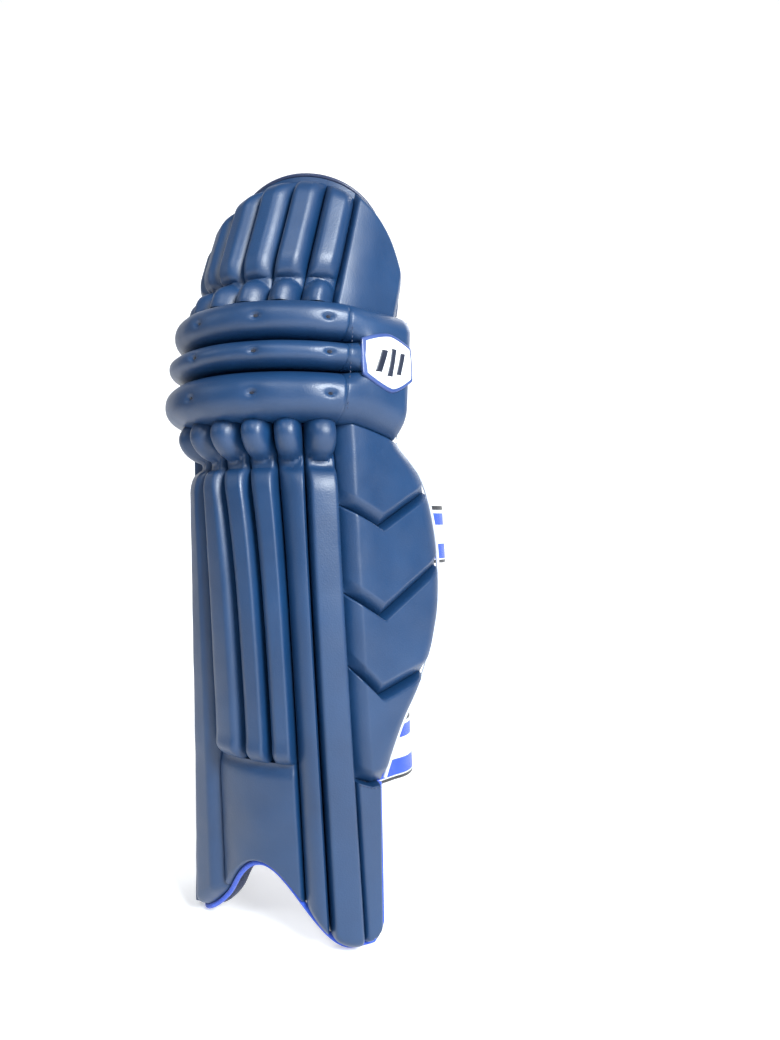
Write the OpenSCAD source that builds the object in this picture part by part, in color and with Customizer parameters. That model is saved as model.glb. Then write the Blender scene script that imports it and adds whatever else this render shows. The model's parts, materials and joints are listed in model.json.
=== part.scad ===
// Cricket leg pad for one leg, standing on its two lower lobes.
// The front faces -Y, the leg stands behind it on the Z axis, and the wing is on +X.
// Every padded piece is laid on one carrier: an upright half tube round the leg, on which a
// point is given by its angle from the front, its height and its distance from the leg axis.

/* [Shell] */
// Distance from the leg axis to the crests of the shin rolls at the knee end
shin_r = 127; // [120:1:134]
// Same distance at the ankle end
ankle_r = 134; // [128:1:138]
// Distance from the leg axis to the crest of the lower knee roll
knee_low_r = 152; // [146:1:156]
// Same distance for the middle knee roll
knee_mid_r = 148; // [143:1:152]
// Same distance for the upper knee roll
knee_up_r = 142; // [137:1:147]
// Same distance for the foot of the top hat
top_r = 124; // [118:1:128]
// Depth of the shin rolls
roll_t = 24; // [18:1:26]
// Thickness of the stitched backing boards
board_t = 6; // [4:0.5:6.5]

/* [Heights] */
// Height of the arch over the instep
arch_h = 82; // [60:1:95]
// Top of the plain instep panel
instep_z = 190; // [170:1:205]
// Crease under the bulb heads of the shin rolls
neck_z = 505; // [495:1:512]
// Foot of the lower knee roll
knee_z = 543; // [538:1:548]
// Foot of the top hat
hat_z = 668; // [666:1:672]
// Height of the dome of the top hat above its foot
dome_h = 150; // [120:1:160]

/* [Lining] */
// Thickness of the shin cushion
cushion_t = 14; // [8:1:18]
// Thickness of the two side bolsters
bolster_t = 22; // [14:1:26]
// Thickness of the knee cup
cup_t = 17; // [10:1:22]
// Thickness of the top hat lining
hat_lining_t = 12; // [6:1:16]

/* [Straps] */
// Width of the strap webbing
strap_w = 68; // [45:1:72]
// Thickness of the strap webbing
strap_t = 2.4; // [1.6:0.2:3]

/* [Badge] */
// Width of the badge, in degrees round the leg
badge_span = 31; // [24:1:33]
// Height of the badge
badge_h = 63; // [50:1:66]

/* [Hidden] */

gap = 0.4;             // clearance left between neighbouring pieces
binding_d = 5.5;       // the binding round the foot, on which the shell stands
seam = 0.35;           // half the width of a seam between rolls, in degrees
pad_blue = [0.06, 0.10, 0.26];
royal = [0.05, 0.20, 0.75];
white = [0.92, 0.92, 0.93];
black = [0.03, 0.03, 0.04];
lining_grey = [0.16, 0.19, 0.30];

// Angles where the outer and the inner wall leave the tube and run straight back
outer_lim = 72;
inner_lim = 90;
mm_per_deg = 2.094;    // length of a degree of wall past those angles
wall_end = -100;       // rear end of the inner wall
panel_drop = 6;        // the plain panels lie this much below the roll crests

// Leg axis: it leans out and back towards the ankle, and back again in the top hat
function axis_x(z) = lookup(z, [[0, 27], [540, 0], [670, 0], [818, 10]]);
function axis_y(z) = lookup(z, [[0, 16], [540, 0], [670, 0], [818, 42]]);
function mix(a, b, t) = a + (b - a) * t;
function clip(v, a, b) = min(max(v, a), b);

// Extra distance of the inner side, which stands wider towards the ankle
inner_flare = 22;
function smooth(t) = let (c = clip(t, 0, 1)) c * c * (3 - 2 * c);
function widen(f, z) = inner_flare * clip(1 - z / 540, 0, 1) * smooth((-f - 26) / 26);

// A point of the carrier at angle f, height z and distance r from the leg axis
function at(f, z, r) =
    let (
        lim = f > 0 ? outer_lim : inner_lim,
        a = clip(f, -lim, lim),
        run = max(abs(f) - lim, 0) * mm_per_deg,
        s = sign(f),
        q = r + widen(f, z)
    )
    [axis_x(z) + q * sin(a) + s * run * cos(lim), axis_y(z) - q * cos(a) + run * sin(lim), z];

// Crest distance of the shin, of the knee panels and of the top hat
function r_shin(z) = lookup(z, [[0, ankle_r], [180, ankle_r - 3], [500, shin_r], [560, shin_r]]);
function r_knee(z) = lookup(z, [[knee_z, knee_low_r], [610, knee_mid_r], [hat_z, knee_up_r]]);
function r_hat(z) = lookup(z, [[hat_z, top_r], [818, top_r - 4]]);
r_base = 106;          // back of the knee rolls

// Lower edge of the shell: two lobes with an arch between them
function bottom(f) =
    let (half = f > 0 ? 46 : 54)
    (abs(f) < half ? arch_h * (0.5 + 0.5 * cos(180 * f / half)) : 0)
    + max(f - 57, 0) * 2.2 + max(-f - 82, 0) * 1.2;
// Upper edge of the top hat
hat_mid = 14;
hat_half = 83;
function dome(f) = hat_z + dome_h * sqrt(max(1 - pow((f - hat_mid) / hat_half, 2), 0.02));
// Rear edge of the wing and of the strip under it
wing_edge = [[165, 68], [218, 83.5], [274, 104], [335, 117], [400, 120.5], [455, 117.5], [495, 110], [529, 93],
    [545, 90.5]];
function wing_f(z) = lookup(z, wing_edge);
function strip_f(z) = mix(61, 66, clip(z / 165, 0, 1));
// Lower edge of the facing, clear of the binding where the edge runs steeply
function steep(f) = let (half = f > 0 ? 46 : 54) abs(f) < half ? abs(sin(180 * f / half)) : f > 55 ? 0.8 : 0;
function facing_foot(f) = bottom(f) + binding_d + 0.2 + 2.2 * steep(f);

// Rear edge of the knee panel
function knee_f(z) = mix(90.5, 98.5, clip((z - 535) / 130, 0, 1));

// Seams between the shin rolls: angle at the neck and at the ankle end
roll_seams = [[-48.5, -48.5], [-30, -29], [-14, -5], [3.5, 9.5], [20, 22.3], [35, 34], [52, 50.8]];
function seam_f(i, z) = mix(roll_seams[i][0], roll_seams[i][1], clip((neck_z - z) / 315, 0, 1));
// Seams between the top hat rolls, all one width
hat_pitch = 18;
function hat_seam(i) = 52 - hat_pitch * (6 - i);

// Rounded flat-topped profile, 0 to 1 to 0 as t goes 0 to 1, never quite 0
function crown(t, e) = 0.12 + 0.88 * pow(max(1 - pow(abs(2 * t - 1), e), 0), 1 / e);
function eased(k, n) = (1 - cos(180 * k / n)) / 2;

// A solid through a list of rings of points. The two halves of a ring run side by side, and each
// end is closed by a strip between them.
module loft(rings) {
    n = len(rings[0]);
    top = (len(rings) - 1) * n;
    polyhedron(
        points = [for (ring = rings, p = ring) p],
        faces = concat(
            [for (i = [0:n:top - n], j = [0:n - 1]) [i + j, i + (j + 1) % n, i + n + (j + 1) % n]],
            [for (i = [0:n:top - n], j = [0:n - 1]) [i + j, i + n + (j + 1) % n, i + n + j]],
            [for (j = [0:n / 2 - 2]) [j, n - 1 - j, n - 2 - j]],
            [for (j = [0:n / 2 - 2]) [j, n - 2 - j, j + 1]],
            [for (j = [0:n / 2 - 2]) [top + j, top + n - 2 - j, top + n - 1 - j]],
            [for (j = [0:n / 2 - 2]) [top + j, top + j + 1, top + n - 2 - j]]
        )
    );
}

// A padded patch of the carrier. f0 and f1 give its side edges at t, z0 and z1 its lower and upper
// edges at an angle, r0 its back and h its depth at a height. t runs from 0 at the foot to 1 at the
// top; e rounds its sides and ge its ends.
module patch(f0, f1, z0, z1, r0, h, nu = 6, nt = 10, e = 3.5, ge = 14, swell = function (t) 1) {
    loft([
        for (k = [0:nt])
            let (t = eased(k, nt), a = f0(t), b = f1(t), g = crown(t, ge) * swell(t))
            concat(
                [for (i = [0:nu]) let (f = mix(a, b, i / nu), z = mix(z0(f), z1(f), t)) at(f, z, r0(z))],
                [
                    for (i = [nu:-1:0])
                        let (f = mix(a, b, eased(i, nu)), z = mix(z0(f), z1(f), t))
                        at(f, z, r0(z) + h(z) * g * crown(eased(i, nu), e))
                ]
            )
    ]);
}

// A round cord along points of the carrier given as [angle, height, distance]
module piping(route, d) {
    points = [for (q = route) at(q[0], q[1], q[2])];
    outs = [for (q = route) let (v = at(q[0], q[1], q[2] + 1) - at(q[0], q[1], q[2])) v / norm(v)];
    last = len(points) - 1;
    loft([
        for (i = [0:last])
            let (
                along = points[min(i + 1, last)] - points[max(i - 1, 0)],
                side = cross(along, outs[i]) / norm(cross(along, outs[i])),
                up = cross(side, along) / norm(along)
            )
            [for (k = [0:7]) points[i] + d / 2 * (cos(45 * k + 22.5) * up - sin(45 * k + 22.5) * side)]
    ]);
}

// ---- shin ----

module shin_roll(i) {
    f0 = function (t) seam_f(i - 1, mix(100, 543, t)) + seam;
    f1 = function (t) seam_f(i, mix(100, 543, t)) - seam;
    short = i > 1 && i < 5;
    z0 = short ? function (f) instep_z + 1 : function (f) facing_foot(f);
    z1 = function (f) knee_z - gap;
    head = function (t) t < 0.8 ? 1 : 1 - 0.22 * exp(-pow((mix(20, 543, t) - neck_z) / 7, 2));
    color(pad_blue) patch(
        f0, f1, z0, z1, function (z) r_shin(z) - roll_t, function (z) roll_t,
        nu = 6, nt = 14, e = 3.6, ge = 16, swell = head
    );
}

module instep_panel() {
    color(pad_blue) patch(
        function (t) seam_f(1, 100) + seam, function (t) seam_f(4, 100) - seam,
        function (f) facing_foot(f), function (f) instep_z,
        function (z) r_shin(z) - roll_t, function (z) roll_t - 9,
        nu = 14, nt = 8, e = 12, ge = 9
    );
}

module shin_inner_panel() {
    color(pad_blue) patch(
        function (t) wall_end, function (t) seam_f(0, 100) - seam,
        function (f) facing_foot(f), function (f) knee_z - gap - 12 * clip((-f - 60) / 40, 0, 1),
        function (z) r_shin(z) - roll_t, function (z) roll_t - panel_drop,
        nu = 12, nt = 12, e = 9, ge = 20
    );
}

// Grooves of the wing: height at the seam with the rolls, at the tip of the V, at the rear edge
// and the angle of the tip
grooves = [[529, 529, 529, 76], [460, 434, 472, 76], [367, 338, 382, 73], [291, 255, 276, 68], [173, 166, 165, 60]];
function groove_z(g, f) =
    f < g[3] ? mix(g[0], g[1], (f - 52) / (g[3] - 52)) : mix(g[1], g[2], (f - g[3]) / (112 - g[3]));
groove_gap = 1;

module wing_segment(i) {
    z0 = function (f) groove_z(grooves[i], f) + groove_gap;
    z1 = i == 1 ? function (f) knee_z - gap - 14 * clip((f - 60) / 28, 0, 1)
        : function (f) groove_z(grooves[i - 1], f) - groove_gap;
    edge = function (t) let (f = wing_f(mix(z0(95), z1(95), t))) wing_f(mix(z0(f), z1(f), t));
    color(pad_blue) patch(
        function (t) seam_f(6, mix(z0(52), z1(52), t)) + 1.4 * seam, edge, z0, z1,
        function (z) r_shin(z) - roll_t, function (z) roll_t - 4,
        nu = 12, nt = 8, e = 7, ge = 5
    );
}

module wing_strip() {
    color(pad_blue) patch(
        function (t) seam_f(6, 100) + seam, function (t) strip_f(mix(0, 160, t)),
        function (f) facing_foot(f), function (f) groove_z(grooves[4], f) - groove_gap,
        function (z) r_shin(z) - roll_t, function (z) roll_t - 8,
        nu = 6, nt = 8, e = 7, ge = 12
    );
}

cane_t = 3;            // thickness of the cane splints
cane_half = 2.4;       // half their width, in degrees
board_seam = 60.6;     // where the shin board ends and the wing board begins
r_cane = function (z) r_shin(z) - roll_t - gap - cane_t;
r_board = function (z) r_cane(z) - gap - board_t;

module shin_canes() {
    color([0.80, 0.66, 0.42])
        for (i = [1:6]) {
            mid = function (t) (seam_f(i - 1, mix(120, 500, t)) + seam_f(i, mix(120, 500, t))) / 2;
            patch(
                function (t) mid(t) - cane_half, function (t) mid(t) + cane_half,
                function (f) 120, function (f) 500, r_cane, function (z) cane_t,
                nu = 1, nt = 8, e = 60, ge = 60
            );
        }
}

// The curved boards and the knee cup are sewn from strips that meet at fine cuts
cut = 0.05;
module shin_backing() {
    spans = 7;
    step = (board_seam - wall_end) / spans;
    color(pad_blue)
        for (i = [0:spans - 1])
            patch(
                function (t) wall_end + step * i + cut, function (t) wall_end + step * (i + 1) - cut,
                function (f) bottom(f) + binding_d,
                function (f) knee_z - 2 * gap - 12 * clip((-f - 60) / 40, 0, 1),
                r_board, function (z) board_t, nu = 4, nt = 8, e = 40, ge = 40
            );
}

module wing_backing() {
    foot = grooves[4][0] - 5;
    top = function (f) knee_z - 2 * gap - 14 * clip((f - 60) / 28, 0, 1);
    edge = function (t) wing_f(mix(foot, 529, t)) - 0.5;
    color(pad_blue) patch(
        function (t) board_seam + seam, edge, function (f) foot, top,
        r_board, function (z) board_t,
        nu = 10, nt = 14, e = 40, ge = 40
    );
}

r_liner = function (z) r_board(z) - gap;
module shin_cushion() {
    color(lining_grey) patch(
        function (t) -29, function (t) 29, function (f) 112, function (f) 530,
        function (z) r_liner(z) - cushion_t, function (z) cushion_t,
        nu = 8, nt = 8, e = 40, ge = 40
    );
}

// The bolsters stand inwards from the boards, so their crown faces the leg
module inward(f0, f1, z0, z1, r0, h, nu, nt, e = 3, ge = 10) {
    loft([
        for (k = [0:nt])
            let (t = eased(k, nt), a = f0(t), b = f1(t))
            concat(
                [
                    for (i = [0:nu])
                        let (f = mix(a, b, eased(i, nu)), z = mix(z0(f), z1(f), t))
                        at(f, z, r0(z) - h(z) * crown(t, ge) * crown(eased(i, nu), e))
                ],
                [for (i = [nu:-1:0]) let (f = mix(a, b, i / nu), z = mix(z0(f), z1(f), t)) at(f, z, r0(z))]
            )
    ]);
}

module bolster_inner() {
    color(lining_grey) inward(
        function (t) wall_end + 3, function (t) -31, function (f) 60, function (f) 520,
        function (z) r_liner(z) - 0.8, function (z) bolster_t - 0.8, nu = 8, nt = 8
    );
}

module bolster_outer() {
    color(lining_grey) inward(
        function (t) 31, function (t) 58, function (f) 60, function (f) 530,
        r_liner, function (z) bolster_t, nu = 7, nt = 8
    );
}

module wing_lining() {
    edge = function (t) wing_f(mix(242, 515, t)) - 7.5;
    color(lining_grey) inward(
        function (t) 60, edge, function (f) 242, function (f) 515,
        r_liner, function (z) 9, nu = 8, nt = 14, e = 6
    );
}

piping_d = 4.5;
module wing_piping() {
    color(white) piping(
        [for (z = [172:12:526]) [wing_f(z) + 1.3, z, r_shin(z) - roll_t + 4]], piping_d
    );
}

module bottom_binding() {
    right = [for (z = [160:-16:16]) [strip_f(z) + 1.8, z, r_shin(z) - roll_t - 1]];
    foot = [for (f = [61:-3:-99]) [f, bottom(f) + binding_d / 2, r_shin(0) - roll_t - 1]];
    color(royal) piping(concat(right, foot), binding_d);
}

// ---- knee ----

knee_rows = [[knee_z, 594], [596.5, 625], [627.5, hat_z - 1.2]];
knee_end = -84;
function knee_seam(z) = mix(50.4, 55.4, (z - 534) / 129);

module knee_roll(row) {
    zr = knee_rows[row];
    crest = [knee_low_r, knee_mid_r, knee_up_r][row];
    color(pad_blue) patch(
        function (t) knee_end, function (t) knee_seam(mix(zr[0], zr[1], t)) - seam,
        function (f) zr[0], function (f) zr[1],
        function (z) r_base + gap, function (z) crest - r_base - gap,
        nu = 24, nt = 8, e = 24, ge = 2.4
    );
}

tuft_f = [-15, 15.2, 45.5];
module knee_tufts() {
    color([0.03, 0.05, 0.16])
        for (row = [0:2], f = tuft_f) {
            crest = [knee_low_r, knee_mid_r, knee_up_r][row];
            z = (knee_rows[row][0] + knee_rows[row][1]) / 2;
            translate(at(f, z, crest + 0.3)) rotate([90, 0, f]) cylinder(h = 1.2, r = 2.2, $fn = 24);
        }
}

module knee_side_panel() {
    color(pad_blue) patch(
        function (t) knee_seam(mix(knee_z, hat_z, t)) + seam, function (t) knee_f(mix(knee_z, hat_z, t)),
        function (f) knee_z - 13 * clip((f - 60) / 28, 0, 1), function (f) hat_z - 1.2,
        function (z) r_base + gap, function (z) r_knee(z) - r_base - gap - 3,
        nu = 12, nt = 8, e = 9, ge = 7
    );
}

module knee_inner_panel() {
    color(pad_blue) patch(
        function (t) wall_end, function (t) knee_end - 2 * seam,
        function (f) knee_z, function (f) hat_z - 1.2 - 12 * clip((-f - 84) / 16, 0, 1),
        function (z) r_base + gap, function (z) 16,
        nu = 4, nt = 8, e = 9, ge = 12
    );
}

badge_f = 74;
badge_z = 607;
r_badge = function (z) r_knee(z) - 3 + 0.5;
// A shield with six sides, drawn by its upper and lower edge
module shield(grow, r0, h) {
    half = badge_span / 2 + grow * 0.42;
    up = badge_h / 2 + grow;
    slope = function (f) 0.34 * up * pow(abs(f - badge_f) / half, 1.6);
    patch(
        function (t) badge_f - half * (1 - 0.06 * abs(2 * t - 1)),
        function (t) badge_f + half * (1 - 0.06 * abs(2 * t - 1)),
        function (f) badge_z - up + slope(f), function (f) badge_z + up - slope(f),
        r0, h, nu = 14, nt = 8, e = 16, ge = 16
    );
}

module badge_rim() {
    color([0.35, 0.45, 0.75]) shield(0, r_badge, function (z) 2.6);
}

module badge_plate() {
    color(white) shield(-4, function (z) r_badge(z) + 2.8, function (z) 1.4);
}

// A plain generic mark: three slanted bars
module badge_motif() {
    color(black)
        for (k = [-1:1])
            patch(
                function (t) badge_f + 6 * k - 1.6 + 4 * (t - 0.5), function (t) badge_f + 6 * k + 1.6 + 4 * (t - 0.5),
                function (f) badge_z - 14, function (f) badge_z + 14,
                function (z) r_badge(z) + 4.5, function (z) 0.8,
                nu = 1, nt = 3, e = 60, ge = 60
            );
}

module knee_backing() {
    spans = 5;
    share = function (t, i) mix(wall_end, knee_f(mix(knee_z, hat_z, t)) - 1, i / spans);
    color(pad_blue)
        for (i = [0:spans - 1])
            patch(
                function (t) share(t, i) + cut, function (t) share(t, i + 1) - cut,
                function (f) knee_z, function (f) hat_z - 2 - 12 * clip((-f - 84) / 16, 0, 1),
                function (z) r_base - board_t, function (z) board_t, nu = 6, nt = 3, e = 40, ge = 40
            );
}

module knee_cup() {
    spans = 5;
    step = (84 - wall_end - 4) / spans;
    color(lining_grey)
        for (i = [0:spans - 1])
            inward(
                function (t) wall_end + 4 + step * i + cut, function (t) wall_end + 4 + step * (i + 1) - cut,
                function (f) knee_z, function (f) hat_z - 6,
                function (z) r_base - board_t - gap, function (z) cup_t, nu = 6, nt = 6, e = 7, ge = 3
            );
}

module knee_piping() {
    color(white) piping(
        [for (z = [knee_z - 6:12:hat_z - 4]) [knee_f(z) + 1.3, z, r_base - 2]], piping_d
    );
}

// ---- top hat ----

hat_foot = hat_z + 0.6;
module top_roll(i) {
    mid = (hat_seam(i - 1) + hat_seam(i)) / 2;
    head = function (t) 1 - 0.2 * exp(-pow((mix(hat_foot, dome(mid), t) - hat_z - 26) / 7, 2));
    color(pad_blue) patch(
        function (t) hat_seam(i - 1) + seam, function (t) hat_seam(i) - seam,
        function (f) hat_foot + 3, function (f) dome(f) - 4,
        function (z) r_hat(z) - 20, function (z) 20,
        nu = 6, nt = 12, e = 3, ge = 8, swell = head
    );
}

module top_side_panel() {
    color(pad_blue) patch(
        function (t) 52 + seam, function (t) hat_mid + hat_half - 1,
        function (f) hat_foot, function (f) dome(f) - 4,
        function (z) r_hat(z) - 20, function (z) 15,
        nu = 8, nt = 12, e = 7, ge = 8
    );
}

module top_inner_panel() {
    color(pad_blue) patch(
        function (t) hat_mid - hat_half + 1, function (t) hat_seam(0) - seam,
        function (f) hat_foot, function (f) dome(f) - 4,
        function (z) r_hat(z) - 20, function (z) 14,
        nu = 4, nt = 8, e = 7, ge = 8
    );
}

module top_backing() {
    color(pad_blue) patch(
        function (t) hat_mid - hat_half + 1, function (t) hat_mid + hat_half - 1,
        function (f) hat_foot, function (f) dome(f),
        function (z) r_hat(z) - 20 - gap - board_t, function (z) board_t,
        nu = 22, nt = 12, e = 40, ge = 40
    );
}

module top_lining() {
    color(lining_grey) inward(
        function (t) hat_mid - hat_half + 5, function (t) hat_mid + hat_half - 5,
        function (f) hat_foot + 3, function (f) dome(f) - 8,
        function (z) r_hat(z) - 20 - 2 * gap - board_t, function (z) hat_lining_t,
        nu = 16, nt = 8, e = 8, ge = 6
    );
}

module top_piping() {
    color(black) piping(
        [
            for (a = [4:6:176])
                let (z = hat_z + (dome_h + 3.6) * sin(a)) [hat_mid - (hat_half + 1.1) * cos(a), z, r_hat(z) - 22]
        ],
        piping_d
    );
}

// ---- straps ----

// Each strap as [height of its middle, hinge point, way it leaves the hinge, depth of its loop]
function strap_hinge(z, f, r) = let (p = at(f, z, r)) [p[0], p[1]];
calf_z = 426;
ankle_z = 186;
knee_strap_z = 586;
straps = [
    [knee_strap_z, strap_hinge(knee_strap_z, 99.5, 98.2), [-0.10, 0.995], 80],
    [calf_z, strap_hinge(calf_z, 124.2, 101.9), [0.45, 0.89], 94],
    [ankle_z, strap_hinge(ankle_z, 88, 93.6), [0.45, 0.89], 104]
];
// The shin straps lean with the walls that they lie on
module lean(k) {
    slope = k == 0 ? [0, 0] : [-0.05, -0.0296];
    z = straps[k][0];
    multmatrix([[1, 0, slope[0], -slope[0] * z], [0, 1, slope[1], -slope[1] * z], [0, 0, 1, 0]]) children();
}
// The inner wall leans, so the fasteners stand clear of it by a little more than the lean
function wall_r(k) = k == 0 ? r_base + 16.4 : r_shin(straps[k][0]) - panel_drop + 1.4;
function fastener_end(k) = k == 0 ? -87 : -81;
tab_len = 44;
patch_t = 1.5;

// Middle line of a strap from the hinge, round the back of the leg, to the inner wall
function bend(p, q, u, v, t) =
    p * pow(1 - t, 3) + 3 * u * t * pow(1 - t, 2) + 3 * v * t * t * (1 - t) + q * pow(t, 3);
function strap_off(k) = wall_r(k) + 2 * (patch_t + gap) + gap + strap_t / 2;
function strap_line(k) =
    let (
        s = straps[k],
        z = s[0],
        p = s[1] + 1.5 * s[2],
        e3 = at(wall_end, z, strap_off(k)),
        q = [e3[0], e3[1] + 10],
        u = p + s[3] * s[2],
        v = q + [0, s[3] + 20]
    )
    concat(
        [for (i = [0:30]) bend(p, q, u, v, i / 30)],
        [for (f = [wall_end:2:fastener_end(k) + 1]) let (w = at(f, z, strap_off(k))) [w[0], w[1]]]
    );
function side_of(line, i) =
    let (d = line[min(i + 1, len(line) - 1)] - line[max(i - 1, 0)]) [-d[1], d[0]] / norm(d);
module ribbon(line, t) {
    n = len(line) - 1;
    polygon(concat(
        [for (i = [0:n]) line[i] + side_of(line, i) * t / 2],
        [for (i = [n:-1:0]) line[i] - side_of(line, i) * t / 2]
    ));
}
module strap(k) {
    color(royal) lean(k)
        translate([0, 0, straps[k][0] - strap_w / 2])
            linear_extrude(strap_w) ribbon(strap_line(k), strap_t);
}

// Hook tab under the strap's end, and the loop patch on the wall that it grips
module fastener(k, lift, w) {
    z = straps[k][0];
    r = wall_r(k) + lift + patch_t / 2;
    lean(k) translate([0, 0, z - w / 2])
        linear_extrude(w)
            ribbon([for (f = [-98:2:fastener_end(k)]) let (p = at(f, z, r)) [p[0], p[1]]], patch_t);
}
module hook_tab(k) {
    color(black) fastener(k, patch_t + 2 * gap, strap_w - 12);
}
module loop_patch(k) {
    color(black) fastener(k, gap, strap_w - 4);
}

module calf_strap_pad() {
    line = [for (i = [9:22]) strap_line(1)[i]];
    inside = [for (i = [0:len(line) - 1]) line[i] + side_of(line, i) * (strap_t / 2 + gap + 4)];
    color(lining_grey) lean(1)
        translate([0, 0, calf_z - strap_w / 2 + 2]) linear_extrude(strap_w - 4) ribbon(inside, 8);
}

// Sewn ends of the straps: in the wing's rear seam at the calf, on the inner face elsewhere
module strap_roots() {
    color(royal)
        for (k = [0:2]) {
            s = straps[k];
            lean(k) translate([0, 0, s[0] - strap_w / 2])
                linear_extrude(strap_w)
                    ribbon([for (d = [k == 2 ? -30 : -13, -7, -1.5]) s[1] + d * [0.30, 0.95]], strap_t);
        }
}

top_roll(1);  // top_roll_1
top_roll(2);  // top_roll_2
top_roll(3);  // top_roll_3
top_roll(4);  // top_roll_4
top_roll(5);  // top_roll_5
top_roll(6);  // top_roll_6
top_side_panel();
top_inner_panel();
top_backing();
top_lining();
top_piping();
knee_roll(2);  // knee_roll_upper
knee_roll(1);  // knee_roll_middle
knee_roll(0);  // knee_roll_lower
knee_tufts();
knee_side_panel();
knee_inner_panel();
badge_rim();
badge_plate();
badge_motif();
knee_backing();
knee_cup();
knee_piping();
shin_roll(1);  // shin_roll_1
shin_roll(2);  // shin_roll_2
shin_roll(3);  // shin_roll_3
shin_roll(4);  // shin_roll_4
shin_roll(5);  // shin_roll_5
shin_roll(6);  // shin_roll_6
instep_panel();
wing_segment(1);  // wing_segment_1
wing_segment(2);  // wing_segment_2
wing_segment(3);  // wing_segment_3
wing_segment(4);  // wing_segment_4
wing_strip();
shin_inner_panel();
shin_canes();
shin_backing();
wing_backing();
shin_cushion();
bolster_inner();
bolster_outer();
wing_lining();
wing_piping();
bottom_binding();
strap_roots();
strap(0);  // knee_strap
hook_tab(0);  // knee_hook_tab
loop_patch(0);  // knee_loop_patch
strap(1);  // calf_strap
hook_tab(1);  // calf_hook_tab
loop_patch(1);  // calf_loop_patch
calf_strap_pad();
strap(2);  // ankle_strap
hook_tab(2);  // ankle_hook_tab
loop_patch(2);  // ankle_loop_patch
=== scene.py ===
import bpy
import json
import math
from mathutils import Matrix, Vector, noise


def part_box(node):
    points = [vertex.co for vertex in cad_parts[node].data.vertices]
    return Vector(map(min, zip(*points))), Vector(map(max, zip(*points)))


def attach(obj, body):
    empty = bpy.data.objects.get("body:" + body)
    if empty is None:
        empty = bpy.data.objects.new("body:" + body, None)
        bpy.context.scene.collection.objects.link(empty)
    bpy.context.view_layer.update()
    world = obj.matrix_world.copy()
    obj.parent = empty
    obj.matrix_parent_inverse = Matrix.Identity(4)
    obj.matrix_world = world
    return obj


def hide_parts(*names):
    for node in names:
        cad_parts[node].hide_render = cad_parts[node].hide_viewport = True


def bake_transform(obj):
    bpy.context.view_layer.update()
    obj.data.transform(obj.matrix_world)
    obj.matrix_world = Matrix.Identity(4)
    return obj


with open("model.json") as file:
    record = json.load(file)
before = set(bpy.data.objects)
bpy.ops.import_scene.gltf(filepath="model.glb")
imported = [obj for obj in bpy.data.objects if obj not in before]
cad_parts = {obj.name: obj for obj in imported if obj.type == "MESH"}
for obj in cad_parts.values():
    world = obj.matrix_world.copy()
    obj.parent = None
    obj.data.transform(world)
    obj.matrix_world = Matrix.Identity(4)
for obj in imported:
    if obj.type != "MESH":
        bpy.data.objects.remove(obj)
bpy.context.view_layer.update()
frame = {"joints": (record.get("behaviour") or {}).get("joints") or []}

MM = 0.001
RAD = math.pi / 180


# ---- sizes: from the frame's boxes where a box gives them, else the design's own dimensions ----

def top_of(node):
    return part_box(node)[1][2] / MM


def foot_of(node):
    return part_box(node)[0][2] / MM


HAT_Z = foot_of("top_backing") - 0.6
DOME_H = top_of("top_backing") - HAT_Z
KNEE_ROWS = [[foot_of(n), top_of(n)] for n in ("knee_roll_lower", "knee_roll_middle", "knee_roll_upper")]
KNEE_Z = KNEE_ROWS[0][0]
INSTEP_Z = top_of("instep_panel")
BADGE_Z = (foot_of("badge_rim") + top_of("badge_rim")) / 2
NECK_Z = KNEE_Z - 38   # the crease under the heads of the shin rolls

# Design dimensions in mm, and angles in degrees round the leg from the front, the outer side positive
BINDING_D = 5.5        # binding round the foot
ARCH_H = 82            # height of the arch over the instep
OUTER_LIM = 72         # where the outer side starts to run straight back
INNER_LIM = 90         # the same on the inner side
MM_PER_DEG = 2.094     # length of straight side for each degree past that angle
WALL_END = -100        # rear edge of the inner wall
INNER_FLARE = 22       # how far the inner side widens towards the ankle
FLARE_START = -26      # where that widening sets in
ROLL_T = 24            # thickness of the shin rolls
FLARE = 9              # how much thicker their heads are
BOARD_T = 6
CANE_T = 3
GAP = 0.4              # between neighbouring pieces
R_BASE = 106           # outer face of the knee boards, from the leg axis
KNEE_R = [152, 148, 142]   # crests of the knee rolls, lowest roll first
KNEE_END = -84         # inner end of the knee rolls
HAT_MID = 14           # middle of the dome
HAT_HALF = 83          # half its width
HAT_END = 52           # outer edge of the top hat's last roll
HAT_PITCH = 18         # width of one top hat roll
HAT_T = 20             # thickness of the top hat's padding
BADGE_F = 74
WING_F = 52            # the seam between the last shin roll and the wing
WING_REAR = 112        # angle at which the grooves' rear ends are given

# Leg axis and radii as (height, value): the axis leans back below the shin's middle and above the knee
AXIS_X = [(0, 27), (540, 0), (670, 0), (818, 10)]
AXIS_Y = [(0, 16), (540, 0), (670, 0), (818, 42)]
SHIN_R = [(0, 134), (180, 131), (500, 127), (560, 127)]
HAT_R = [(HAT_Z, 124), (818, 120)]
# Rear edge of the wing as (height, angle)
WING_EDGE = [
    (165, 68), (218, 83.5), (274, 104), (335, 117), (400, 120.5),
    (455, 117.5), (495, 110), (529, 93), (545, 90.5),
]
# Seams between the shin rolls: angle at the neck and angle far below it
ROLL_SEAMS = [(-48.5, -48.5), (-30, -29), (-14, -5), (3.5, 9.5), (20, 22.3), (35, 34), (52, 50.8)]
# Wing grooves from the top: height at the seam, at the point of the V and at the rear, and the point's angle
GROOVES = [
    (529, 529, 529, 76), (460, 434, 472, 76), (367, 338, 382, 73), (291, 255, 276, 68), (173, 166, 165, 60),
]


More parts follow.
